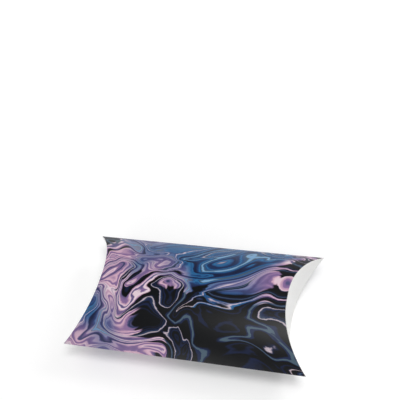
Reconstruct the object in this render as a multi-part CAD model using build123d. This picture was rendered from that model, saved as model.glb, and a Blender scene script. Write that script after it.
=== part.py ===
from build123d import *
import math
import os

# Pillow box of thin paperboard, lying on the belly of its back panel.
# Sizes are millimetres and angles are degrees. X runs along the box, Y across it and Z up.
# The origin is under the middle of the box, on the surface that it lies on.

# Overall form
box_length = 150.0           # from end corner to end corner
box_width = 82.0             # from long edge to long edge
belly_rise = 16.0            # from the middle plane out to the crown of either panel
rest_strip = 6.0             # the flat strip along each crown, which the box lies on
board = 0.45                 # thickness of the paperboard

# End flaps
crease_slit = 0.2            # between a panel and the flap that is folded from it
flap_gap = 0.5               # between the two closed flaps of one end
free_edge_trim = 0.6         # how far the outer flap stops short of the opposite crease
inner_flap_bow = 4.0         # how far the inner flap's free edge bows past the middle plane
tip_relief = 1.6             # cut off each flap's pointed tips, so that they fold without binding

# Glued seam along one long edge
glue_flap_reach = 10.0       # from the long edge inwards, seen from above
glue_flap_end_gap = 3.0      # between the flap's root and the panel's end corner
glue_flap_end_taper = 14.0   # how much each end is cut back along the flap's inner edge
seam_nose = 0.5              # height of the folded nose that joins back panel and glue flap
seam_gap = 0.2               # between that nose and the front panel's cut edge
glue_space = 0.22            # between the front panel and the glue flap
glue_clearance = 0.04        # between the strip of glue and the board on either side of it
glue_edge_margin = 1.5       # bare board on each side of the strip of glue
glue_end_margin = 6.0        # bare board at each end of the strip of glue

# Worked out from the sizes above. The end creases lie in planes at 45 degrees,
# so an end curves inwards by as much as the belly rises, and its flaps stand upright.
middle_height = belly_rise
inner_setback = board + flap_gap
diagonal = math.sqrt(2)
half_length = box_length / 2
half_width = box_width / 2
overrun = box_width          # makes every cutting body longer than what it cuts

FRONT = 1
BACK = -1


def belly(rise, inset=0.0):
    """Face between a chord and a bowed line: two arcs that run into a flat strip.

    The chord lies on the local X axis and the line bows along local +Y.
    An inset moves the bowed line inwards, and a negative one outwards.
    """
    half_strip = rest_strip / 2
    half_chord = half_width - half_strip
    radius = (half_chord**2 + rise**2) / (2 * rise)
    centre_depth = radius - rise
    arc_radius = radius - inset
    reach = math.sqrt(arc_radius**2 - centre_depth**2)
    middle_angle = (math.pi / 2 + math.asin(centre_depth / arc_radius)) / 2
    foot = (half_strip + reach, 0)
    shoulder = (half_strip, rise - inset)
    between = (
        half_strip + arc_radius * math.cos(middle_angle),
        arc_radius * math.sin(middle_angle) - centre_depth,
    )

    def left(point):
        return (-point[0], point[1])

    outline = Curve() + [
        ThreePointArc(foot, between, shoulder),
        Line(shoulder, left(shoulder)),
        ThreePointArc(left(shoulder), left(between), left(foot)),
        Line(left(foot), foot),
    ]
    return make_face(outline)


def section_plane(side):
    """Plane across the box at the middle plane's height, bowing up for the front and down for the back."""
    return Plane(origin=(0, 0, middle_height), x_dir=(0, 1, 0), z_dir=(side, 0, 0))


def chord_distance(side):
    """How far from the middle of the box a panel's end corners lie."""
    return half_length - (inner_setback if side == BACK else 0.0)


def along_box(sketch, side):
    """Body of a cross-section that runs from one end chord of a panel to the other."""
    return extrude(section_plane(side) * sketch, amount=chord_distance(side), both=True)


def crease_plane(side, end=1):
    """Plane at 45 degrees that holds the crease of one panel at one end, facing out of the box."""
    return Plane(
        origin=(end * chord_distance(side), 0, middle_height),
        x_dir=(0, end * side, 0),
        z_dir=(end, 0, side),
    )


def crease_lens(side, end=1, inset=0.0):
    """Face in the crease plane between the end's chord and its curved crease."""
    plane = crease_plane(side, end)
    sheet = plane * Rectangle(2 * box_width, 2 * overrun)
    bowed = extrude(section_plane(side) * belly(belly_rise, inset), amount=box_length, both=True)
    return sheet & bowed


def mitre(side, end):
    """Body on the flap's side of a crease, whose wall cuts the panel's end to a mitre."""
    return extrude(crease_lens(side, end), amount=2 * belly_rise, both=True)


def make_panel(side):
    """Bowed panel with a curved, mitred crease at each end."""
    wall = along_box(belly(belly_rise) - belly(belly_rise, board), side)
    return wall - mitre(side, 1) - mitre(side, -1)


def make_front_panel():
    """Front panel, cut back along the seam so that its edge clears the folded nose."""
    seam_height = seam_nose + seam_gap
    seam_cut = Pos(0, half_width, middle_height) * Box(
        2 * box_length, box_width / 2, 2 * seam_height
    )
    return make_panel(FRONT) - seam_cut


def make_back_panel():
    return make_panel(BACK)


def upright_wall(side):
    """Curved wall across the right end, as tall as the box, with its outer face on the end's curve."""
    outline = belly(belly_rise, -board) - belly(belly_rise)
    chord_line = Plane(origin=(chord_distance(side), 0, 0), x_dir=(0, 1, 0), z_dir=(0, 0, 1))
    return extrude(chord_line * outline, amount=2 * middle_height)


def between_tips():
    """Body that leaves off the pointed tips of a flap."""
    return Pos(0, 0, middle_height) * Box(2 * box_length, box_width - 2 * tip_relief, 2 * overrun)


def make_outer_flap():
    """Outer flap of the right end, folded down from the front panel."""
    lens = crease_lens(FRONT, inset=crease_slit)
    trim = crease_plane(FRONT) * Rectangle(2 * box_width, 2 * free_edge_trim / diagonal)
    reach = extrude(lens - trim, amount=-3 * belly_rise)
    return upright_wall(FRONT) & reach & between_tips()


def make_inner_flap():
    """Inner flap of the right end, folded up from the back panel and shorter than the outer one."""
    lens = crease_lens(BACK, inset=crease_slit)
    reach = extrude(lens, amount=-3 * belly_rise)
    below = Pos(0, 0, -overrun / 2) * Box(2 * box_length, 2 * box_width, overrun)
    free_edge = along_box(belly(inner_flap_bow), FRONT) + Pos(0, 0, middle_height) * below
    return upright_wall(BACK) & reach & free_edge & between_tips()


def glue_flap_outline():
    """Glue flap seen from above: a long strip with its ends cut back at a slant."""
    root = half_length - glue_flap_end_gap
    tip = root - glue_flap_end_taper
    inner_edge = half_width - glue_flap_reach
    outline = Polyline(
        (-root, half_width), (root, half_width), (tip, inner_edge), (-tip, inner_edge), close=True
    )
    return make_face(outline)


def seam_layer(outer_inset, inner_inset, outline):
    """Layer that follows the front panel's curve along the seam, within an outline seen from above."""
    layer = along_box(belly(belly_rise, outer_inset) - belly(belly_rise, inner_inset), FRONT)
    return layer & extrude(Pos(0, 0, middle_height) * outline, amount=2 * belly_rise)


def make_glue_flap():
    """Tab inside the front panel, with the folded nose through which it grows out of the back panel."""
    tab_outside = board + glue_space
    tab_inside = tab_outside + board
    tab = seam_layer(tab_outside, tab_inside, glue_flap_outline())
    nose = seam_layer(0.0, tab_inside, glue_flap_outline())
    nose_height = Pos(0, half_width, middle_height) * Box(2 * box_length, box_width / 2, 2 * seam_nose)
    return tab + (nose & nose_height)


def make_glue_line():
    """Strip of glue between the front panel and the tab."""
    inner_edge = half_width - glue_flap_reach + glue_edge_margin
    outer_edge = half_width - board * diagonal - glue_edge_margin
    length = 2 * (half_length - glue_flap_end_gap - glue_flap_end_taper - glue_end_margin)
    outline = Pos(0, (inner_edge + outer_edge) / 2) * Rectangle(length, outer_edge - inner_edge)
    return seam_layer(board + glue_clearance, board + glue_space - glue_clearance, outline)


def make_box():
    """Every node of the box by name."""
    nodes = {
        "front_panel": make_front_panel(),
        "back_panel": make_back_panel(),
        "glue_flap": make_glue_flap(),
        "glue_line": make_glue_line(),
        "right_outer_flap": make_outer_flap(),
        "right_inner_flap": make_inner_flap(),
    }
    for flap in ("outer_flap", "inner_flap"):
        nodes["left_" + flap] = mirror(nodes["right_" + flap], about=Plane.YZ)
    return nodes


os.makedirs("parts", exist_ok=True)
for name, piece in make_box().items():
    piece.label = name
    export_step(piece, "parts/" + name + ".step")
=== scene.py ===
import math

import bmesh
import bpy
from bpy.props import FloatProperty, FloatVectorProperty, IntProperty, PointerProperty
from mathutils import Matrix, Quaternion, Vector


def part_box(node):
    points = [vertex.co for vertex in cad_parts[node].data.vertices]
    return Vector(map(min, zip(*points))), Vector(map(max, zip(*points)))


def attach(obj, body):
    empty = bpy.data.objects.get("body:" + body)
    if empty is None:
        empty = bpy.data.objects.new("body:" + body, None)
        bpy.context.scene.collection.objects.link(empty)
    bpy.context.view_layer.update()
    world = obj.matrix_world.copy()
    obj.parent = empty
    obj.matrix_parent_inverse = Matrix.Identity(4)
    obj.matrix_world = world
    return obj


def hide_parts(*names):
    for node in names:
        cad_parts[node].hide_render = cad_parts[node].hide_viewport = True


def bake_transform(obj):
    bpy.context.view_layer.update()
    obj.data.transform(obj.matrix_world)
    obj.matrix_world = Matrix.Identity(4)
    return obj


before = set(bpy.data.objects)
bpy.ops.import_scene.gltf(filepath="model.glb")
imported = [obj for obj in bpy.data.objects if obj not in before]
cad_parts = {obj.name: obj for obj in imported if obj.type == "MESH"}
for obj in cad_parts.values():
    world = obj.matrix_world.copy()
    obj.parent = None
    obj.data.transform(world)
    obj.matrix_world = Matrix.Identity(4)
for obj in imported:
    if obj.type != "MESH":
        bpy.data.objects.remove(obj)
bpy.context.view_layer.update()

bl_info = {
    "name": "Pillow Box",
    "version": (1, 0, 0),
    "blender": (4, 5, 0),
    "location": "View3D > Sidebar > Pillow Box",
    "description": "A marbled pillow box of folded paperboard, built around its packed frame",
    "category": "Add Mesh",
}

# The frame's own sizes, from which the defaults below come
FRONT_LOW, FRONT_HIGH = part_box("front_panel")
BACK_LOW, BACK_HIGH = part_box("back_panel")
MIDDLE = BACK_HIGH.z
MM = 0.001

# How near points count as one, and how short an edge is merged away or dissolved
TOUCH = 0.005 * MM
SAME_POINT = 0.03 * MM
SLIVER = 0.01 * MM

# Faces that meet at a wider angle than this keep a sharp edge between them
SHARPEST_SMOOTH = math.radians(40)

# The flat map shows the board unfolded, and the attributes hold distances in millimetres
FLAT_MAP = "flat_board"
FLAT_UNIT = 100 * MM
FLAT_MILLIMETRE = (MM / FLAT_UNIT,) * 3
FLAP_PLACE = 0.3
CREASE_DISTANCE = "crease_distance"
EDGE_DISTANCE = "edge_distance"
NO_FOLD = 10 * MM

ALONG = Vector((1.0, 0.0, 0.0))
UP = Vector((0.0, 0.0, 1.0))
WHITE = (1.0, 1.0, 1.0, 1.0)


def length_prop(name, description, default, top=1.0):
    return FloatProperty(
        name=name, description=description, default=default, min=0.0, max=top, unit="LENGTH", precision=5
    )


def share_prop(name, description, default):
    return FloatProperty(
        name=name, description=description, default=default, min=0.0, max=1.0, subtype="FACTOR"
    )


def number_prop(name, description, default, unit="NONE"):
    return FloatProperty(name=name, description=description, default=default, min=0.0, unit=unit)


def count_prop(name, description, default, least=1):
    return IntProperty(name=name, description=description, default=default, min=least)


def place_prop(name, description, default):
    return FloatVectorProperty(name=name, description=description, default=default, unit="LENGTH")


def colour_prop(name, description, default):
    return FloatVectorProperty(
        name=name, description=description, default=default, subtype="COLOR", size=3, min=0.0, max=1.0
    )


class PillowBoxSizes(bpy.types.PropertyGroup):
    """Sizes of the folded board"""

    length: length_prop("Length", "From end corner to end corner", FRONT_HIGH.x - FRONT_LOW.x)
    width: length_prop("Width", "From long edge to long edge", BACK_HIGH.y - BACK_LOW.y)
    rise: length_prop("Rise", "From the middle plane to either crown", FRONT_HIGH.z - BACK_HIGH.z)
    crown_strip: length_prop("Crown strip", "Flat strip along each crown", 6.0 * MM)
    board: length_prop("Board", "Thickness of the paperboard", 0.45 * MM)
    setback: length_prop("Setback", "From the front's ends in to the back's", FRONT_HIGH.x - BACK_HIGH.x)
    fold_radius: length_prop("Fold radius", "Outer radius of a folded end crease", 0.45 * MM)
    long_fold_radius: length_prop("Long fold radius", "Outer radius of the folds along the box", 0.55 * MM)
    long_fold_steps: count_prop("Long fold steps", "Faces round each fold along the box", 6)
    tip_gap: length_prop("Tip gap", "How far a flap's tips stop short of the long edges", 0.4 * MM)
    tip_taper: length_prop("Tip taper", "Length over which a flap's tips thin out", 1.0 * MM)
    tip_thinning: share_prop("Tip thinning", "Share of the board left at the tips", 0.1)
    free_edge_trim: length_prop("Free edge trim", "From the outer flap's edge to the lower crease", 0.6 * MM)
    inner_flap_bow: length_prop("Inner flap bow", "How far the inner flap's edge bows up", 4.0 * MM)
    inner_flap_cuts: count_prop("Inner flap cuts", "Straight cuts along each half of that edge", 9)
    cut_edge_height: length_prop("Seam edge height", "Height of the front panel's glued edge", 0.7 * MM)
    tab_depth: length_prop("Tab depth", "From the front panel's face in to the glue tab", 0.67 * MM)
    tab_reach: length_prop("Tab reach", "Width of the glue tab, seen from above", 10.0 * MM)
    tab_end_gap: length_prop("Tab end gap", "From the tab's root to the end corner", 3.0 * MM)
    tab_taper: length_prop("Tab taper", "How much each end of the tab slants back", 14.0 * MM)
    tab_steps: count_prop("Tab steps", "Faces across the glue tab", 12)
    arc_steps: count_prop("Arc steps", "Faces along each quarter of the belly", 30, 4)
    wall_rows: count_prop("Flap rows", "Rows of faces up each flap", 40, 4)


class PillowBoxInks(bpy.types.PropertyGroup):
    """Colours and drawing of the marbled print"""

    black: colour_prop("Black", "Darkest ink", (0.0015, 0.0021, 0.0037))
    navy: colour_prop("Navy", "Dark blue ink", (0.006, 0.016, 0.0685))
    deep_blue: colour_prop("Deep blue", "Main blue ink", (0.0086, 0.063, 0.1981))
    blue: colour_prop("Blue", "Bright blue ink", (0.0185, 0.1441, 0.3278))
    pale_blue: colour_prop("Pale blue", "Thinned blue ink", (0.1779, 0.3564, 0.5711))
    slate: colour_prop("Slate", "Blue grey ink", (0.063, 0.107, 0.15))
    violet: colour_prop("Violet", "Dusky violet ink", (0.0762, 0.0762, 0.1912))
    lilac: colour_prop("Lilac", "Warm violet ink", (0.2307, 0.1329, 0.3005))
    pink: colour_prop("Pink", "Rose ink", (0.6172, 0.3813, 0.4969))
    blush: colour_prop("Blush", "Palest pink ink", (0.7529, 0.6105, 0.6724))
    long_stir: number_prop("Long stir", "How far the ink is drawn out in long curls", 1.15)
    short_stir: number_prop("Short stir", "How far the ink is drawn out in short curls", 0.3)
    strata: number_prop("Strata", "Layers of ink from the pools' middles to their rims", 16.0)
    tongues: number_prop("Tongues", "Tongues into which the dark ink's rim is torn", 11.0)
    veins: number_prop("Veins", "Pale veins from the pools' middles to their rims", 7.0)


class PillowBoxBoard(bpy.types.PropertyGroup):
    """Colours of the bare board"""

    white: colour_prop("Coated white", "Unprinted outside of the flaps", (0.9, 0.9, 0.89))
    inside: colour_prop("Inside", "Uncoated back of the board", (0.70, 0.68, 0.63))
    core: colour_prop("Core", "Fibre seen at a cut edge", (0.62, 0.58, 0.51))
    glue: colour_prop("Glue", "Dried glue line", (0.55, 0.52, 0.42))


class PillowBoxStage(bpy.types.PropertyGroup):
    """Camera, floor and light"""

    lens: number_prop("Lens", "Focal length on a 36 mm sensor, in millimetres", 71.93)
    camera_roll: FloatProperty(
        name="Camera roll", description="Tilt of the picture", default=math.radians(-14.113), subtype="ANGLE"
    )
    camera_place: place_prop("Camera place", "Where the camera stands", (0.12519, -0.23864, 0.43799))
    camera_aim: place_prop("Camera aim", "What it looks at", (-0.01473, 0.07807, 0.016))
    floor_size: length_prop("Floor size", "Side of the floor", 8.0, 20.0)
    floor_colour: colour_prop("Floor colour", "Pale floor", (0.9, 0.9, 0.9))
    near_glow: share_prop("Near glow", "White seen in the floor round the box", 0.16)
    far_glow: share_prop("Far glow", "White seen in the floor far away", 0.62)
    glow_start: length_prop("Glow start", "Distance at which the floor's glow starts to grow", 0.12, 20.0)
    glow_end: length_prop("Glow end", "Distance at which it stops growing", 0.7, 20.0)
    room_light: share_prop("Room light", "Strength of the even light all round", 0.5)
    wall_shine: share_prop("Wall shine", "White that gloss shows low in the room", 0.9)
    ceiling_shine: share_prop("Ceiling shine", "White that gloss shows overhead", 0.04)
    key_power: number_prop("Key power", "Power of the lamp overhead", 6.6, "POWER")
    key_size: length_prop("Key size", "Width of the lamp overhead", 0.6, 5.0)
    key_place: place_prop("Key place", "Where the lamp overhead hangs", (0.33, -0.15, 1.25))
    side_power: number_prop("Side power", "Power of the lamp at the right", 3.1, "POWER")
    side_size: length_prop("Side size", "Width of the lamp at the right", 0.5, 5.0)
    side_place: place_prop("Side place", "Where the lamp at the right hangs", (0.75, 0.7, 0.68))
    front_power: number_prop("Front power", "Power of the lamp in front", 1.2, "POWER")
    front_size: length_prop("Front size", "Width of the lamp in front", 0.45, 5.0)
    front_place: place_prop("Front place", "Where the lamp in front hangs", (-0.32, -0.95, 0.44))


# Shape of the folded board


def half_chord(sizes):
    return (sizes.width - sizes.crown_strip) / 2


def flank_radius(sizes):
    return (half_chord(sizes) ** 2 + sizes.rise**2) / (2 * sizes.rise)


def flank_drop(sizes):
    """How far the centre of a flank's arc lies beyond the middle plane."""
    return flank_radius(sizes) - sizes.rise


def flank_angle(sizes):
    return math.asin(half_chord(sizes) / flank_radius(sizes))


def flat_across(sizes, y):
    """Distance from the crown line to a point, measured along the board."""
    out = max(abs(y) - sizes.crown_strip / 2, 0.0)
    along = min(abs(y), sizes.crown_strip / 2)
    along += flank_radius(sizes) * math.asin(min(out / flank_radius(sizes), 1.0))
    return math.copysign(along, y)


def end_reach(sizes, side):
    """From the box's middle to a panel's end corners; side is 1 for the front and -1 for the back."""
    return sizes.length / 2 - (sizes.setback if side < 0 else 0.0)


def crease_plane(sizes, side, end):
    """A point and the normal of the plane at 45 degrees that holds one end crease."""
    return Vector((end * end_reach(sizes, side), 0.0, MIDDLE)), Vector((end, 0.0, side))


def crease_distance(sizes, co, side):
    point, normal = crease_plane(sizes, side, 1.0)
    return abs((Vector((abs(co.x), co.y, co.z)) - point).dot(normal.normalized()))


def tab_radius(sizes):
    return flank_radius(sizes) - sizes.tab_depth


def tab_root(sizes):
    """From the box's middle to the ends of the glue tab's root."""
    return sizes.length / 2 - sizes.tab_end_gap


def tab_slants(sizes):
    """A point and the normal of the slanting cut at each end of the glue tab."""
    for end in (-1, 1):
        point = (end * tab_root(sizes), sizes.width / 2, MIDDLE)
        yield point, (end * sizes.tab_reach, -sizes.tab_taper, 0.0)


def lip_corner(sizes):
    """Distance across the box and height of the line where the lip ends and the glue tab starts."""
    height = sizes.cut_edge_height + flank_drop(sizes)
    across = sizes.crown_strip / 2 + math.sqrt(tab_radius(sizes) ** 2 - height**2)
    return across, MIDDLE + sizes.cut_edge_height


# Edit mode tools


def add_plane(name, across, along, place, turn=(0.0, 0.0, 0.0)):
    """A plane at its size and place, left in edit mode."""
    bpy.ops.object.select_all(action="DESELECT")
    bpy.ops.mesh.primitive_plane_add(size=1.0)
    sheet = bpy.context.object
    sheet.name = name
    sheet.data.name = name
    sheet.scale = (across, along, 1.0)
    sheet.rotation_euler = turn
    sheet.location = place
    bpy.ops.object.transform_apply(location=True, rotation=True, scale=True)
    bpy.ops.object.mode_set(mode="EDIT")
    return sheet


def take(sheet):
    """Leaves edit mode and selects one sheet alone."""
    bpy.ops.object.mode_set(mode="OBJECT")
    bpy.ops.object.select_all(action="DESELECT")
    sheet.select_set(True)
    bpy.context.view_layer.objects.active = sheet


def at(**places):
    """Test for points that lie at the given x, y or z."""
    return lambda co: all(abs(getattr(co, axis) - value) < TOUCH for axis, value in places.items())


def anywhere(co):
    return True


def pick(sheet, kind, test):
    """Selects in edit mode the parts of a mesh whose corners all pass a test."""
    bpy.ops.mesh.select_mode(type=kind)
    bpy.ops.mesh.select_all(action="DESELECT")
    mesh = bmesh.from_edit_mesh(sheet.data)
    parts = {"VERT": mesh.verts, "EDGE": mesh.edges, "FACE": mesh.faces}[kind]
    count = 0
    for part in parts:
        corners = [part] if kind == "VERT" else part.verts
        if all(test(corner.co) for corner in corners):
            part.select_set(True)
            count += 1
    mesh.select_flush_mode()
    bmesh.update_edit_mesh(sheet.data)
    if not count:
        raise RuntimeError(f"{sheet.name}: nothing to select")


def sweep(sheet, test, centre, axis, angle, steps):
    """Spins the picked edges by a right-handed angle; the operator itself turns the other way."""
    pick(sheet, "EDGE", test)
    bpy.ops.mesh.spin(steps=steps, angle=-angle, center=centre, axis=axis)


def cut(sheet, point, normal, test=anywhere, clear=True):
    """Bisects faces by a plane, and clears what lies on the side that its normal points to."""
    pick(sheet, "FACE", test)
    bpy.ops.mesh.bisect(
        plane_co=point, plane_no=Vector(normal).normalized(), clear_outer=clear, threshold=TOUCH / 10
    )


def cut_away(sheet, point, normal, test):
    """Cuts the faces that pass a test by a plane, and deletes only those of them that lie beyond it."""
    point, normal = Vector(point), Vector(normal).normalized()
    cut(sheet, point, normal, test, clear=False)
    pick(sheet, "FACE", lambda co: test(co) and (co - point).dot(normal) > -TOUCH)
    bpy.ops.mesh.delete(type="FACE")


def face_outwards(sheet, outward):
    """Merges doubles and turns all faces to the side that a direction gives for each face's middle."""
    bpy.ops.mesh.select_all(action="SELECT")
    bpy.ops.mesh.remove_doubles(threshold=TOUCH / 4)
    bpy.ops.mesh.normals_make_consistent(inside=False)
    faces = bmesh.from_edit_mesh(sheet.data).faces
    agreement = sum(face.normal.dot(outward(face.calc_center_median())) * face.calc_area() for face in faces)
    if agreement < 0:
        bpy.ops.mesh.flip_normals()


def round_fold(sheet, sizes, point, normal, slide, test=anywhere):
    """Rounds the board's last strip up to a fold whose plane is given by a point and its normal.

    The fold's edge sinks along the normal, and the loop before it sinks along slide.
    """
    point, normal = Vector(point), Vector(normal).normalized()
    radius = sizes.fold_radius
    diagonal = math.sqrt(2)
    edge_slope = math.radians(45)
    loop_slope = edge_slope / 2
    loop_share = 1 - math.sin(loop_slope)
    for share in (1.0, loop_share):
        cut(sheet, point - normal * (radius * share / diagonal), normal, test, clear=False)

    def sink(depth, move):
        pick(sheet, "VERT", lambda co: abs((co - point).dot(normal) + depth) < TOUCH / 2 and test(co))
        bpy.ops.transform.translate(value=move)

    sink(0.0, -normal * (radius * (1 - math.cos(edge_slope)) * diagonal))
    sink(radius * loop_share / diagonal, Vector(slide) * (radius * (1 - math.cos(loop_slope))))


def far_from_folds(co):
    return NO_FOLD


def note_board(sheet, flat, crease, edge=far_from_folds):
    """Writes the flat map, and each point's distance from the end creases and from the long folds."""
    bpy.ops.mesh.select_all(action="SELECT")
    bpy.ops.mesh.remove_doubles(threshold=SAME_POINT)
    bpy.ops.mesh.dissolve_degenerate(threshold=SLIVER)
    bpy.ops.mesh.select_mode(type="EDGE")
    bpy.ops.mesh.select_all(action="DESELECT")
    bpy.ops.mesh.select_non_manifold()
    bpy.ops.mesh.mark_sharp()
    bpy.ops.object.mode_set(mode="OBJECT")
    mesh = sheet.data
    while mesh.uv_layers:
        mesh.uv_layers.remove(mesh.uv_layers[0])
    layer = mesh.uv_layers.new(name=FLAT_MAP)
    for face in mesh.polygons:
        for corner in face.loop_indices:
            co = mesh.vertices[mesh.loops[corner].vertex_index].co
            layer.data[corner].uv = [value / FLAT_UNIT for value in flat(co, face.center)]
    for name, distance in ((CREASE_DISTANCE, crease), (EDGE_DISTANCE, edge)):
        noted = mesh.attributes.new(name, "FLOAT", "POINT")
        for vertex in mesh.vertices:
            noted.data[vertex.index].value = distance(vertex.co) / MM


def thin_tips(sheet, sizes, wall):
    """Thins the board towards a flap's two tips, which lets them end inside the long folds."""
    tips = sheet.vertex_groups.new(name="Board thickness")
    reach = max(abs(vertex.co.y) for vertex in sheet.data.vertices)
    for vertex in sheet.data.vertices:
        share = (reach - abs(vertex.co.y)) / sizes.tip_taper
        tips.add([vertex.index], min(sizes.tip_thinning + share, 1.0), "REPLACE")
    wall.vertex_group = tips.name
    wall.thickness_vertex_group = 0.0


def give_thickness(sheet, sizes, outer_face, bends=False):
    """Thickens the sheet inwards and shades it.

    A sheet that bends keeps its modifier, so its wall stays as thick at every pose.
    """
    for name in (outer_face, "inner_face", "cut_edge"):
        sheet.data.materials.append(bpy.data.materials[name])
    take(sheet)
    wall = sheet.modifiers.new("Board", "SOLIDIFY")
    wall.thickness = sizes.board
    wall.offset = -1.0
    wall.use_even_offset = True
    wall.material_offset = 1
    wall.material_offset_rim = 2
    if bends:
        thin_tips(sheet, sizes, wall)
        bpy.ops.object.shade_smooth()
        return
    bpy.ops.object.modifier_apply(modifier=wall.name)
    bpy.ops.object.shade_smooth_by_angle(angle=SHARPEST_SMOOTH)


# Node tools


def feed(tree, socket, value):
    """Gives a socket a value of its own or another node's output."""
    if isinstance(value, bpy.types.NodeSocket):
        tree.links.new(value, socket)
    else:
        socket.default_value = value


def add_node(tree, kind, sockets=None, **settings):
    """Adds a shader node with its settings, and feeds its sockets by name or number."""
    made = tree.nodes.new(kind)
    for name, value in settings.items():
        setattr(made, name, value)
    for name, value in (sockets or {}).items():
        feed(tree, made.inputs[name], value)
    return made


def sums(tree, operation, *values, clamp=False):
    """Output of a maths node."""
    sockets = dict(enumerate(values))
    return add_node(tree, "ShaderNodeMath", sockets, operation=operation, use_clamp=clamp).outputs[0]


def swing(tree, value, reach):
    """How far a noise swings from its middle, times a reach."""
    return sums(tree, "MULTIPLY", sums(tree, "SUBTRACT", value, 0.5), reach)


def shift(tree, operation, *values):
    """Output of a vector maths node."""
    places = (0, "Scale" if operation == "SCALE" else 1)
    made = add_node(tree, "ShaderNodeVectorMath", dict(zip(places, values)), operation=operation)
    return made.outputs["Value" if operation == "LENGTH" else "Vector"]


def fade(tree, value, start, end, low=0.0, high=1.0):
    """A smooth step of a value from low at start to high at end."""
    sockets = {"Value": value, "From Min": start, "From Max": end, "To Min": low, "To Max": high}
    return add_node(tree, "ShaderNodeMapRange", sockets, interpolation_type="SMOOTHSTEP").outputs["Result"]


def mix(tree, share, first, second):
    """Mixed colour of two."""
    sockets = {0: share}
    for place, colour in ((6, first), (7, second)):
        sockets[place] = colour if isinstance(colour, bpy.types.NodeSocket) else (*colour, 1.0)
    return add_node(tree, "ShaderNodeMix", sockets, data_type="RGBA").outputs[2]


def darkened(tree, share, colour, darkest):
    """A colour that sinks to its darkest shade where the share is 0."""
    return mix(tree, share, [value * darkest for value in colour], colour)


def ramp(tree, factor, stops):
    """Soft colour ramp with (place, colour) stops."""
    made = add_node(tree, "ShaderNodeValToRGB", {"Fac": factor})
    made.color_ramp.interpolation = "EASE"
    elements = made.color_ramp.elements
    while len(elements) > 1:
        elements.remove(elements[-1])
    for place, (position, colour) in enumerate(stops):
        element = elements[0] if place == 0 else elements.new(position)
        element.position = position
        element.color = (*colour, 1.0)
    return made.outputs["Color"]


def noise(tree, vector, scale, detail=2.0, roughness=0.5, distortion=0.0, output="Fac"):
    sockets = {"Vector": vector, "Scale": scale, "Detail": detail}
    sockets.update({"Roughness": roughness, "Distortion": distortion})
    return add_node(tree, "ShaderNodeTexNoise", sockets).outputs[output]


def noise_along(tree, value, detail, roughness):
    """Noise that changes along one value only."""
    sockets = {"W": value, "Scale": 1.0, "Detail": detail, "Roughness": roughness}
    return add_node(tree, "ShaderNodeTexNoise", sockets, noise_dimensions="1D").outputs["Fac"]


def stir(tree, bath, curls, reach):
    """Draws the points of a bath of ink along soft curls, of which there are so many in its width."""
    curl = noise(tree, bath, curls, detail=1.0, roughness=0.4, output="Color")
    curl = shift(tree, "SUBTRACT", curl, (0.5, 0.5, 0.5))
    return shift(tree, "ADD", bath, shift(tree, "SCALE", curl, reach))


def new_group(name, inputs, outputs):
    """A shader node group; each input is (name, kind, default) and each output is (name, kind)."""
    tree = bpy.data.node_groups.new(name, "ShaderNodeTree")
    kinds = {"value": "NodeSocketFloat", "vector": "NodeSocketVector"}
    for socket, kind, default in inputs:
        made = tree.interface.new_socket(name=socket, in_out="INPUT", socket_type=kinds[kind])
        if default is not None:
            made.default_value = default
    for socket, kind in outputs:
        tree.interface.new_socket(name=socket, in_out="OUTPUT", socket_type=kinds[kind])
    return tree, tree.nodes.new("NodeGroupInput").outputs, tree.nodes.new("NodeGroupOutput").inputs


def make_fibre_group():
    """Fine fibre and mottle of paperboard, with the fibre lying along the box."""
    tree, given, made = new_group(
        "Board fibre",
        [("Vector", "vector", None), ("Fibre size", "value", 1.0), ("Mottle", "value", 0.5)],
        [("Shade", "value"), ("Height", "value")],
    )
    place = shift(tree, "DIVIDE", given["Vector"], FLAT_MILLIMETRE)
    stretched = shift(tree, "MULTIPLY", place, (1.0, 2.6, 1.0))
    fine = sums(tree, "DIVIDE", 24.0, given["Fibre size"])
    broad = sums(tree, "DIVIDE", 2.2, given["Fibre size"])
    fibre = noise(tree, stretched, fine, detail=3.0, roughness=0.6, distortion=0.4)
    cloud = noise(tree, place, broad, detail=4.0, roughness=0.55)
    mottled = swing(tree, cloud, given["Mottle"])
    grain = swing(tree, fibre, sums(tree, "MULTIPLY", given["Mottle"], 0.6))
    feed(tree, made["Shade"], sums(tree, "ADD", sums(tree, "ADD", mottled, grain), 0.5, clamp=True))
    feed(tree, made["Height"], sums(tree, "ADD", fibre, sums(tree, "MULTIPLY", cloud, 0.5)))


def make_fold_group():
    """Rubbed band along a fold, broken up by noise, and the groove that the fold presses in; on the print
    the band is partly wear and partly a painted highlight.
    """
    tree, given, made = new_group(
        "Fold wear and highlight",
        [
            ("Vector", "vector", None),
            ("Distance", "value", 10.0),
            ("Width", "value", 0.5),
            ("Raggedness", "value", 0.5),
        ],
        [("Wear", "value"), ("Groove", "value")],
    )
    narrowest = 0.001
    place = shift(tree, "DIVIDE", given["Vector"], FLAT_MILLIMETRE)
    torn = noise(tree, place, 3.5, detail=6.0, roughness=0.7)
    ragged = swing(tree, torn, sums(tree, "MULTIPLY", given["Raggedness"], 4.0))
    reach = sums(tree, "MULTIPLY", given["Width"], sums(tree, "ADD", 1.0, ragged))
    reach = sums(tree, "MAXIMUM", reach, narrowest)
    worn = sums(tree, "DIVIDE", given["Distance"], reach)
    feed(tree, made["Wear"], fade(tree, worn, 0.45, 1.0, low=1.0, high=0.0))
    pressed = sums(tree, "DIVIDE", given["Distance"], given["Width"])
    feed(tree, made["Groove"], fade(tree, pressed, 1.0, 2.4))


def place_group(tree, group, sockets):
    return add_node(tree, "ShaderNodeGroup", sockets, node_tree=bpy.data.node_groups[group]).outputs


def new_material(name):
    """The nodes of an empty material, and its shader's sockets."""
    material = bpy.data.materials.new(name)
    material.use_nodes = True
    tree = material.node_tree
    tree.nodes.clear()
    shader = tree.nodes.new("ShaderNodeBsdfPrincipled")
    add_node(tree, "ShaderNodeOutputMaterial", {"Surface": shader.outputs["BSDF"]})
    return tree, shader.inputs


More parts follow.
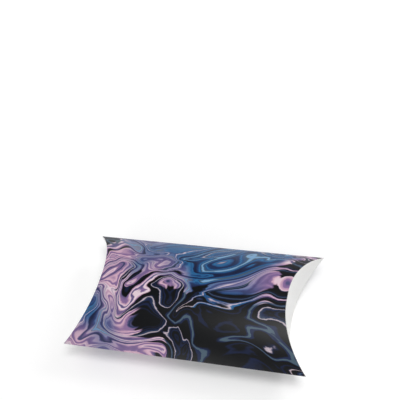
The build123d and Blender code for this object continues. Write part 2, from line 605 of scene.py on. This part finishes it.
def flat_board(tree):
    """Place on the map of the unfolded board."""
    return add_node(tree, "ShaderNodeUVMap", uv_map=FLAT_MAP).outputs["UV"]


def lay_fibre(tree, flat, size, mottle):
    return place_group(tree, "Board fibre", {"Vector": flat, "Fibre size": size, "Mottle": mottle})


def wear_and_highlight_folds(tree, flat, width, raggedness):
    """Mask of wear along the nearest fold, which on the print is also a painted highlight, and its groove,
    with the worn width in millimetres.
    """
    crease, edge = (
        add_node(tree, "ShaderNodeAttribute", attribute_name=name).outputs["Fac"]
        for name in (CREASE_DISTANCE, EDGE_DISTANCE)
    )
    sockets = {"Vector": flat, "Distance": sums(tree, "MINIMUM", crease, edge)}
    sockets.update({"Width": width, "Raggedness": raggedness})
    return place_group(tree, "Fold wear and highlight", sockets)


def rub_and_highlight(tree, fold, share, colour, under):
    """Rubs a share of a colour off along the folds, down to the one under it; where that is the white board
    under the print, the band is partly wear and partly a painted highlight.
    """
    return mix(tree, sums(tree, "MULTIPLY", fold["Wear"], share), colour, under)


def grooved(tree, fibre, fold):
    """Height of a face with fibre all over it and a groove at its folds."""
    return sums(tree, "ADD", fibre["Height"], sums(tree, "MULTIPLY", fold["Groove"], 1.5))


def roughen(tree, shader, value, smoothest, roughest, start=0.2, end=0.8):
    feed(tree, shader["Roughness"], fade(tree, value, start, end, smoothest, roughest))


def raise_surface(tree, shader, height, strength, depth):
    bump = add_node(tree, "ShaderNodeBump", {"Strength": strength, "Distance": depth, "Height": height})
    feed(tree, shader["Normal"], bump.outputs["Normal"])


def marble(tree, flat, inks):
    """Colour of the marbled print over the flat board: drawn pools of ink, their strata and veins."""
    # The bath is stirred twice, in long curls and then in short ones, and combed at a slant
    bath = add_node(tree, "ShaderNodeMapping", {"Vector": flat, "Location": (0.0, -0.30, 0.0)})
    drifted = stir(tree, bath.outputs["Vector"], 1.1, inks.long_stir)
    curled = stir(tree, drifted, 3.6, inks.short_stir)
    slant = {"Vector": curled, "Rotation": (0.0, 0.0, math.radians(38)), "Scale": (1.0, 2.4, 1.0)}
    combed = add_node(tree, "ShaderNodeMapping", slant).outputs["Vector"]
    pools = noise(tree, combed, 1.5, roughness=0.45)
    feathers = noise(tree, combed, 9.0, detail=4.0, roughness=0.6)
    tone = sums(tree, "ADD", pools, swing(tree, feathers, 0.035))
    # Strata of ink follow the pools' outlines, some wide and some as thin as a hair
    layer = noise_along(tree, sums(tree, "MULTIPLY", tone, inks.strata), detail=2.5, roughness=0.62)
    cool = ramp(
        tree,
        layer,
        [
            (0.26, inks.black),
            (0.40, inks.navy),
            (0.47, inks.deep_blue),
            (0.53, inks.blue),
            (0.58, inks.deep_blue),
            (0.64, inks.slate),
            (0.72, inks.pale_blue),
        ],
    )
    warm = ramp(
        tree,
        layer,
        [
            (0.26, inks.navy),
            (0.38, inks.violet),
            (0.46, inks.lilac),
            (0.54, inks.pink),
            (0.60, inks.blush),
            (0.66, inks.lilac),
            (0.74, inks.violet),
        ],
    )
    dark = ramp(tree, layer, [(0.30, inks.black), (0.50, inks.black), (0.60, inks.navy), (0.68, inks.slate)])
    # Where the warm and the dark inks were dropped, each with its own part of the noise
    warmth = noise(tree, shift(tree, "ADD", drifted, (3.7, 1.9, 0.0)), 1.15)
    depth = noise(tree, shift(tree, "ADD", drifted, (9.1, 4.3, 0.0)), 1.2)
    colour = mix(tree, fade(tree, warmth, 0.45, 0.55), cool, warm)
    tongues = sums(tree, "ADD", sums(tree, "MULTIPLY", tone, inks.tongues), 5.0)
    tongues = noise_along(tree, tongues, detail=1.5, roughness=0.5)
    fringe = sums(tree, "ADD", depth, swing(tree, tongues, 0.55))
    colour = mix(tree, fade(tree, fringe, 0.515, 0.53), colour, dark)
    # Pale veins as thin as a hair
    rings = sums(tree, "PINGPONG", sums(tree, "MULTIPLY", tone, inks.veins), 0.5)
    vein = fade(tree, rings, 0.0, 0.03, low=1.0, high=0.0)
    return mix(tree, sums(tree, "MULTIPLY", vein, 0.7), colour, inks.blush)


def make_printed_face(inks, board):
    """Marbled print under a satin film, with a white band along its folds that is partly rubbed wear and
    partly a painted highlight.
    """
    tree, shader = new_material("printed_face")
    flat = flat_board(tree)
    fibre = lay_fibre(tree, flat, size=0.8, mottle=0.6)
    fold = wear_and_highlight_folds(tree, flat, width=0.26, raggedness=0.7)
    # Painted highlight: the white band rubbed into the print along the folds also stands in for the light
    # that the rounded folds catch.
    feed(tree, shader["Base Color"], rub_and_highlight(tree, fold, 0.55, marble(tree, flat, inks), board.white))
    satin = sums(tree, "ADD", 0.36, sums(tree, "MULTIPLY", fibre["Shade"], 0.16))
    scuffed = sums(tree, "ADD", satin, sums(tree, "MULTIPLY", fold["Wear"], 0.25))
    feed(tree, shader["Roughness"], scuffed)
    feed(tree, shader["IOR"], 1.4)
    feed(tree, shader["Coat Weight"], 0.12)
    feed(tree, shader["Coat Roughness"], 0.3)
    raise_surface(tree, shader, grooved(tree, fibre, fold), strength=0.12, depth=0.04 * MM)


def make_plain_face(board):
    """Unprinted coated outside of the flaps."""
    tree, shader = new_material("plain_face")
    flat = flat_board(tree)
    fibre = lay_fibre(tree, flat, size=1.0, mottle=1.6)
    fold = wear_and_highlight_folds(tree, flat, width=0.35, raggedness=0.5)
    coated = darkened(tree, fibre["Shade"], board.white, darkest=0.9)
    feed(tree, shader["Base Color"], rub_and_highlight(tree, fold, 0.35, coated, board.core))
    roughen(tree, shader, fibre["Shade"], smoothest=0.42, roughest=0.58)
    raise_surface(tree, shader, grooved(tree, fibre, fold), strength=0.45, depth=0.06 * MM)


def make_inner_face(board):
    """Uncoated back of the board, with more fibre and a few darker specks."""
    tree, shader = new_material("inner_face")
    flat = flat_board(tree)
    fibre = lay_fibre(tree, flat, size=1.2, mottle=1.0)
    colour = darkened(tree, fibre["Shade"], board.inside, darkest=0.84)
    specks = add_node(tree, "ShaderNodeTexVoronoi", {"Vector": flat, "Scale": 40.0}, voronoi_dimensions="2D")
    few = sums(tree, "GREATER_THAN", specks.outputs["Color"], 0.86)
    spot = fade(tree, specks.outputs["Distance"], 0.05, 0.12, low=1.0, high=0.0)
    speck = sums(tree, "MULTIPLY", spot, few)
    feed(tree, shader["Base Color"], mix(tree, sums(tree, "MULTIPLY", speck, 0.5), colour, board.core))
    roughen(tree, shader, fibre["Shade"], smoothest=0.78, roughest=0.9)
    raise_surface(tree, shader, fibre["Height"], strength=0.4, depth=0.08 * MM)


def make_cut_edge(board):
    """Die-cut edge, where the layers of fibre show."""
    tree, shader = new_material("cut_edge")
    fibre = lay_fibre(tree, flat_board(tree), size=0.5, mottle=1.2)
    feed(tree, shader["Base Color"], darkened(tree, fibre["Shade"], board.core, darkest=0.8))
    roughen(tree, shader, fibre["Shade"], smoothest=0.85, roughest=0.95)
    raise_surface(tree, shader, fibre["Height"], strength=0.5, depth=0.06 * MM)


def make_dried_glue(board):
    """Dried glue, slightly milky and uneven, spread along the box."""
    tree, shader = new_material("dried_glue")
    place = add_node(tree, "ShaderNodeTexCoord").outputs["Object"]
    stretched = shift(tree, "MULTIPLY", place, (0.3, 1.0, 1.0))
    streaks = noise(tree, stretched, 600.0, detail=3.0, roughness=0.6)
    feed(tree, shader["Base Color"], darkened(tree, streaks, board.glue, darkest=0.8))
    roughen(tree, shader, streaks, smoothest=0.25, roughest=0.45, start=0.3, end=0.7)
    raise_surface(tree, shader, streaks, strength=0.4, depth=0.1 * MM)


class PILLOWBOX_OT_finishes(bpy.types.Operator):
    """Make the finishes of print, board and glue"""

    bl_idname = "pillowbox.finishes"
    bl_label = "Finishes"

    def execute(self, context):
        board = context.scene.pillow_box_board
        make_fibre_group()
        make_fold_group()
        make_printed_face(context.scene.pillow_box_inks, board)
        make_plain_face(board)
        make_inner_face(board)
        make_cut_edge(board)
        make_dried_glue(board)
        return {"FINISHED"}


class PILLOWBOX_OT_sleeve(bpy.types.Operator):
    """Fold the printed sleeve: front panel, long fold, back panel and the lip at the seam"""

    bl_idname = "pillowbox.sleeve"
    bl_label = "Printed sleeve"

    def execute(self, context):
        sizes = context.scene.pillow_box_sizes
        strip = sizes.crown_strip / 2
        half = sizes.width / 2
        top = MIDDLE + sizes.rise
        bottom = MIDDLE - sizes.rise
        low_centre = MIDDLE - flank_drop(sizes)
        high_centre = MIDDLE + flank_drop(sizes)
        angle = flank_angle(sizes)
        steps = sizes.arc_steps

        # The crown strip is swept over the near flank and on round the back, then over the far flank
        overlength = 10 * MM
        sleeve = add_plane("printed_sleeve", sizes.length + overlength, sizes.crown_strip, (0.0, 0.0, top))
        sweep(sleeve, at(y=-strip), (0.0, -strip, low_centre), ALONG, angle, steps)
        sweep(sleeve, at(z=MIDDLE), (0.0, -strip, high_centre), ALONG, angle, steps)
        pick(sleeve, "EDGE", at(z=bottom))
        bpy.ops.mesh.extrude_region_move(TRANSFORM_OT_translate={"value": (0.0, sizes.crown_strip, 0.0)})
        sweep(sleeve, at(y=strip, z=bottom), (0.0, strip, high_centre), ALONG, angle, steps)
        seam_angle = math.acos((sizes.cut_edge_height + flank_drop(sizes)) / flank_radius(sizes))
        sweep(sleeve, at(y=strip, z=top), (0.0, strip, low_centre), ALONG, -seam_angle, steps)

        # The lip folds back under the front panel's glued edge
        lip_y, lip_top = lip_corner(sizes)
        lip = (0.0, lip_y - half, sizes.cut_edge_height)
        pick(sleeve, "EDGE", at(y=half, z=MIDDLE))
        bpy.ops.mesh.extrude_region_move(TRANSFORM_OT_translate={"value": lip})
        face_outwards(sleeve, lambda middle: middle - Vector((middle.x, 0.0, MIDDLE)))
        lip_slope = math.atan2(sizes.cut_edge_height, half - lip_y)
        for y, opening in ((-half, 2 * angle), (half, angle + lip_slope)):
            pick(sleeve, "EDGE", at(y=y, z=MIDDLE))
            reach = sizes.long_fold_radius / math.tan(opening / 2)
            bpy.ops.mesh.bevel(offset=reach, segments=sizes.long_fold_steps, profile=0.5, affect="EDGES")

        # A line that rises inwards from the seam, with the lip below it and the front panel above
        parting_slope = 0.6
        parting_height = 0.02 * MM
        fold_sag = 0.1 * MM

        def on_lip(co):
            below_front = co.z < MIDDLE + (half - co.y) * parting_slope + parting_height
            return co.y > lip_y - TOUCH and MIDDLE - fold_sag < co.z < lip_top + TOUCH and below_front

        def on_front(co):
            return co.z > MIDDLE - TOUCH and not (on_lip(co) and co.z < lip_top - TOUCH)

        def on_back(co):
            return co.z < MIDDLE + TOUCH

        for end in (-1, 1):
            for side, test in ((1, on_front), (-1, on_back)):
                point, normal = crease_plane(sizes, side, end)
                cut_away(sleeve, point, normal, test)
                round_fold(sleeve, sizes, point, normal, (0.0, 0.0, -side), test)
        for point, slant in tab_slants(sizes):
            cut_away(sleeve, point, slant, on_lip)

        # On the flat map the back panel and then the lip come after the front panel
        whole = flat_across(sizes, half)

        def flat(co, middle):
            if middle.z < MIDDLE:
                return co.x, -2 * whole - flat_across(sizes, co.y)
            if middle.y > lip_y and middle.z < lip_top:
                return co.x, -3 * whole - (half - co.y)
            return co.x, flat_across(sizes, co.y)

        def crease(co):
            return crease_distance(sizes, co, 1 if co.z >= MIDDLE else -1)

        def long_fold(co):
            # This distance feeds the white band on the print along the long folds, which is partly wear and
            # partly a painted highlight.
            least_wear = 0.1 * MM
            return (half - abs(co.y)) * math.sqrt(2) + least_wear

        # A cut across the middle lets the distance from the creases grow evenly along the box
        cut(sleeve, (0.0, 0.0, MIDDLE), ALONG, clear=False)
        note_board(sleeve, flat, crease, long_fold)
        give_thickness(sleeve, sizes, "printed_face")
        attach(sleeve, "sleeve")
        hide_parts("front_panel", "back_panel")
        return {"FINISHED"}


class PILLOWBOX_OT_glue_tab(bpy.types.Operator):
    """Build the glue tab inside the front panel, and finish the line of glue on it"""

    bl_idname = "pillowbox.glue_tab"
    bl_label = "Glue tab"

    def execute(self, context):
        sizes = context.scene.pillow_box_sizes
        strip = sizes.crown_strip / 2
        half = sizes.width / 2
        low_centre = MIDDLE - flank_drop(sizes)
        lip_y, lip_top = lip_corner(sizes)
        start = math.atan2(lip_y - strip, lip_top - low_centre)
        finish = math.asin((half - sizes.tab_reach - strip) / tab_radius(sizes))

        # Of the plane only the edge along the lip stays, which is swept inwards under the front panel
        beside = 0.5 * MM
        tab = add_plane("glue_tab", 2 * tab_root(sizes), 2 * beside, (0.0, lip_y + beside, lip_top))
        pick(tab, "VERT", lambda co: co.y > lip_y + beside)
        bpy.ops.mesh.delete(type="VERT")
        sweep(tab, anywhere, (0.0, strip, low_centre), ALONG, start - finish, sizes.tab_steps)
        face_outwards(tab, lambda middle: Vector((0.0, 1.0, 1.0)))
        for point, slant in tab_slants(sizes):
            cut(tab, point, slant)

        # On the flat map the tab comes after the lip
        whole = flat_across(sizes, half)

        def flat(co, middle):
            return co.x, -4 * whole + flat_across(sizes, co.y)

        note_board(tab, flat, far_from_folds)
        give_thickness(tab, sizes, "plain_face")
        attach(tab, "sleeve")
        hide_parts("glue_flap")

        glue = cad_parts["glue_line"]
        glue.data.materials.clear()
        glue.data.materials.append(bpy.data.materials["dried_glue"])
        return {"FINISHED"}


def raise_wall(name, sizes, side):
    """The upright curved sheet of a right-hand flap, cut off at its crease and still in edit mode."""
    strip = sizes.crown_strip / 2
    height = 2 * sizes.rise
    reach = end_reach(sizes, side)
    upright = (0.0, math.radians(90), 0.0)
    wall = add_plane(name, height, sizes.crown_strip, (reach - sizes.rise, 0.0, MIDDLE), upright)
    angle = math.asin((half_chord(sizes) - sizes.tip_gap) / flank_radius(sizes))
    centre_x = reach + flank_drop(sizes)
    for hand in (-1, 1):
        y = hand * strip
        sweep(wall, at(y=y), (centre_x, y, MIDDLE), UP, -hand * angle, sizes.arc_steps)
    # The rows come after the sweeps, because a spun chain of edges makes its faces in a random order
    bpy.ops.mesh.select_all(action="DESELECT")
    for edge in bmesh.from_edit_mesh(wall.data).edges:
        edge.select_set(abs(edge.verts[0].co.z - edge.verts[1].co.z) > height / 2)
    bmesh.update_edit_mesh(wall.data)
    bpy.ops.mesh.subdivide(number_cuts=sizes.wall_rows)
    cut(wall, *crease_plane(sizes, side, 1))
    return wall


def mirrored(sheet, name):
    """A copy of a sheet for the other end, with its own mesh."""
    bpy.ops.object.mode_set(mode="OBJECT")
    copy = sheet.copy()
    copy.data = sheet.data.copy()
    copy.name = name
    copy.data.name = name
    bpy.context.scene.collection.objects.link(copy)
    take(copy)
    copy.scale.x = -1.0
    bpy.ops.object.transform_apply(location=True, rotation=True, scale=True)
    return copy


def finish_flap(flap, sizes, side, end, cad_node):
    """Thickens a flap with a modifier that stays live, hides the frame's node that it stands in for and
    bakes its place into its mesh.
    """

    def flat(co, middle):
        return end * flat_across(sizes, co.y), end * FLAP_PLACE + co.z

    note_board(flap, flat, lambda co: crease_distance(sizes, co, side))
    give_thickness(flap, sizes, "plain_face", bends=True)
    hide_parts(cad_node)
    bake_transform(flap)


def place_flaps(sheet, sizes, side, kind):
    """Finishes the right-hand flap and a mirrored one for the left end."""
    other = mirrored(sheet, f"left_{kind}_sheet")
    for flap, end, hand in ((sheet, 1, "right"), (other, -1, "left")):
        take(flap)
        bpy.ops.object.mode_set(mode="EDIT")
        face_outwards(flap, lambda middle: ALONG * end)
        finish_flap(flap, sizes, side, end, f"{hand}_{kind}")


class PILLOWBOX_OT_outer_flaps(bpy.types.Operator):
    """Fold the outer flaps down from the front panel's creases"""

    bl_idname = "pillowbox.outer_flaps"
    bl_label = "Outer flaps"

    def execute(self, context):
        sizes = context.scene.pillow_box_sizes
        flap = raise_wall("right_outer_flap_sheet", sizes, 1)
        point, normal = crease_plane(sizes, 1, 1)
        cut(flap, point + UP * sizes.free_edge_trim, (1.0, 0.0, -1.0))
        round_fold(flap, sizes, point, normal, -ALONG)
        place_flaps(flap, sizes, 1, "outer_flap")
        return {"FINISHED"}


class PILLOWBOX_OT_inner_flaps(bpy.types.Operator):
    """Fold the inner flaps up from the back panel's creases"""

    bl_idname = "pillowbox.inner_flaps"
    bl_label = "Inner flaps"

    def execute(self, context):
        sizes = context.scene.pillow_box_sizes
        flap = raise_wall("right_inner_flap_sheet", sizes, -1)
        round_fold(flap, sizes, *crease_plane(sizes, -1, 1), -ALONG)
        # The free edge bows up: it is cut along the tangents of a wide arc
        bow = sizes.inner_flap_bow
        chord = half_chord(sizes)
        radius = (chord**2 + bow**2) / (2 * bow)
        steepest = math.asin(chord / radius)
        for hand in (-1, 1):
            for number in range(sizes.inner_flap_cuts):
                lean = hand * steepest * (number + 0.5) / sizes.inner_flap_cuts
                y = hand * sizes.crown_strip / 2 + radius * math.sin(lean)
                z = MIDDLE + bow - radius * (1 - math.cos(lean))
                cut(flap, (0.0, y, z), (0.0, math.sin(lean), math.cos(lean)))
        cut(flap, (0.0, 0.0, MIDDLE + bow), UP)
        place_flaps(flap, sizes, -1, "inner_flap")
        return {"FINISHED"}


def hang(context, data, place, target, roll=0.0):
    """Puts a camera or lamp at its place, aims it at a target and turns it by a roll about its own axis."""
    holder = bpy.data.objects.new(data.name, data)
    context.scene.collection.objects.link(holder)
    holder.location = place
    turn = (Vector(target) - Vector(place)).to_track_quat("-Z", "Y")
    holder.rotation_mode = "QUATERNION"
    holder.rotation_quaternion = turn @ Quaternion(UP, roll)
    return holder


def lay_floor(stage):
    """A pale floor with a little cloud in it, whose own white only the camera sees."""
    bpy.ops.object.select_all(action="DESELECT")
    bpy.ops.mesh.primitive_plane_add(size=stage.floor_size)
    floor = bpy.context.object
    floor.name = "floor"
    tree, shader = new_material("floor_paper")
    place = add_node(tree, "ShaderNodeTexCoord").outputs["Object"]
    cloud = noise(tree, place, 3.0)
    feed(tree, shader["Base Color"], darkened(tree, cloud, stage.floor_colour, darkest=0.985))
    feed(tree, shader["Roughness"], 0.9)
    feed(tree, shader["Specular IOR Level"], 0.0)
    feed(tree, shader["Emission Color"], WHITE)
    away = shift(tree, "LENGTH", place)
    glow = fade(tree, away, stage.glow_start, stage.glow_end, stage.near_glow, stage.far_glow)
    seen = add_node(tree, "ShaderNodeLightPath").outputs["Is Camera Ray"]
    feed(tree, shader["Emission Strength"], sums(tree, "MULTIPLY", seen, glow))
    floor.data.materials.append(bpy.data.materials["floor_paper"])


def light_room(context, stage):
    """An even light all round; gloss shows pale walls and a dark ceiling, and the camera sees white."""
    world = bpy.data.worlds.new("room")
    context.scene.world = world
    world.use_nodes = True
    tree = world.node_tree
    tree.nodes.clear()
    walls_end, ceiling_start = 0.02, 0.4
    way = add_node(tree, "ShaderNodeTexCoord").outputs["Generated"]
    up = add_node(tree, "ShaderNodeSeparateXYZ", {"Vector": way}).outputs["Z"]
    shine = fade(tree, up, walls_end, ceiling_start, stage.wall_shine, stage.ceiling_shine)
    even, glossy, seen = (
        add_node(tree, "ShaderNodeBackground", {"Color": WHITE, "Strength": strength}).outputs[0]
        for strength in (stage.room_light, shine, 1.0)
    )
    path = add_node(tree, "ShaderNodeLightPath").outputs
    light = add_node(tree, "ShaderNodeMixShader", {0: path["Is Glossy Ray"], 1: even, 2: glossy}).outputs[0]
    light = add_node(tree, "ShaderNodeMixShader", {0: path["Is Camera Ray"], 1: light, 2: seen}).outputs[0]
    add_node(tree, "ShaderNodeOutputWorld", {"Surface": light})


class PILLOWBOX_OT_stage(bpy.types.Operator):
    """Set up the camera, the pale floor and the soft light"""

    bl_idname = "pillowbox.stage"
    bl_label = "Stage"

    def execute(self, context):
        stage = context.scene.pillow_box_stage
        lay_floor(stage)
        light_room(context, stage)
        lamps = (
            ("key_lamp", stage.key_place, stage.key_size, stage.key_power),
            ("side_lamp", stage.side_place, stage.side_size, stage.side_power),
            ("front_lamp", stage.front_place, stage.front_size, stage.front_power),
        )
        for name, place, size, power in lamps:
            lamp = bpy.data.lights.new(name, "AREA")
            lamp.shape = "DISK"
            lamp.size = size
            lamp.energy = power
            holder = hang(context, lamp, place, (0.0, 0.0, 0.0))
            holder.visible_camera = False

        camera = bpy.data.cameras.new("camera")
        camera.sensor_width = 36.0
        camera.lens = stage.lens
        holder = hang(context, camera, stage.camera_place, stage.camera_aim, stage.camera_roll)
        context.scene.camera = holder
        context.scene.view_settings.view_transform = "Standard"
        return {"FINISHED"}


class PILLOWBOX_PT_panel(bpy.types.Panel):
    """Sizes, colours and build steps of the pillow box"""

    bl_idname = "PILLOWBOX_PT_panel"
    bl_label = "Pillow Box"
    bl_space_type = "VIEW_3D"
    bl_region_type = "UI"
    bl_category = "Pillow Box"

    def draw(self, context):
        for name in PROPERTY_GROUPS:
            group = getattr(context.scene, name)
            box = self.layout.box()
            box.label(text=type(group).__doc__)
            for key in group.__annotations__:
                box.prop(group, key)
        for step in STEPS:
            self.layout.operator(step.bl_idname)


PROPERTY_GROUPS = {
    "pillow_box_sizes": PillowBoxSizes,
    "pillow_box_inks": PillowBoxInks,
    "pillow_box_board": PillowBoxBoard,
    "pillow_box_stage": PillowBoxStage,
}
STEPS = (
    PILLOWBOX_OT_finishes,
    PILLOWBOX_OT_sleeve,
    PILLOWBOX_OT_glue_tab,
    PILLOWBOX_OT_outer_flaps,
    PILLOWBOX_OT_inner_flaps,
    PILLOWBOX_OT_stage,
)
CLASSES = (*PROPERTY_GROUPS.values(), *STEPS, PILLOWBOX_PT_panel)


def register():
    for made in CLASSES:
        bpy.utils.register_class(made)
    for name, group in PROPERTY_GROUPS.items():
        setattr(bpy.types.Scene, name, PointerProperty(type=group))


def unregister():
    for name in PROPERTY_GROUPS:
        delattr(bpy.types.Scene, name)
    for made in reversed(CLASSES):
        bpy.utils.unregister_class(made)


def main():
    register()
    bpy.ops.pillowbox.finishes()
    bpy.ops.pillowbox.sleeve()
    bpy.ops.pillowbox.glue_tab()
    bpy.ops.pillowbox.outer_flaps()
    bpy.ops.pillowbox.inner_flaps()
    bpy.ops.pillowbox.stage()


if __name__ == "__main__":
    main()
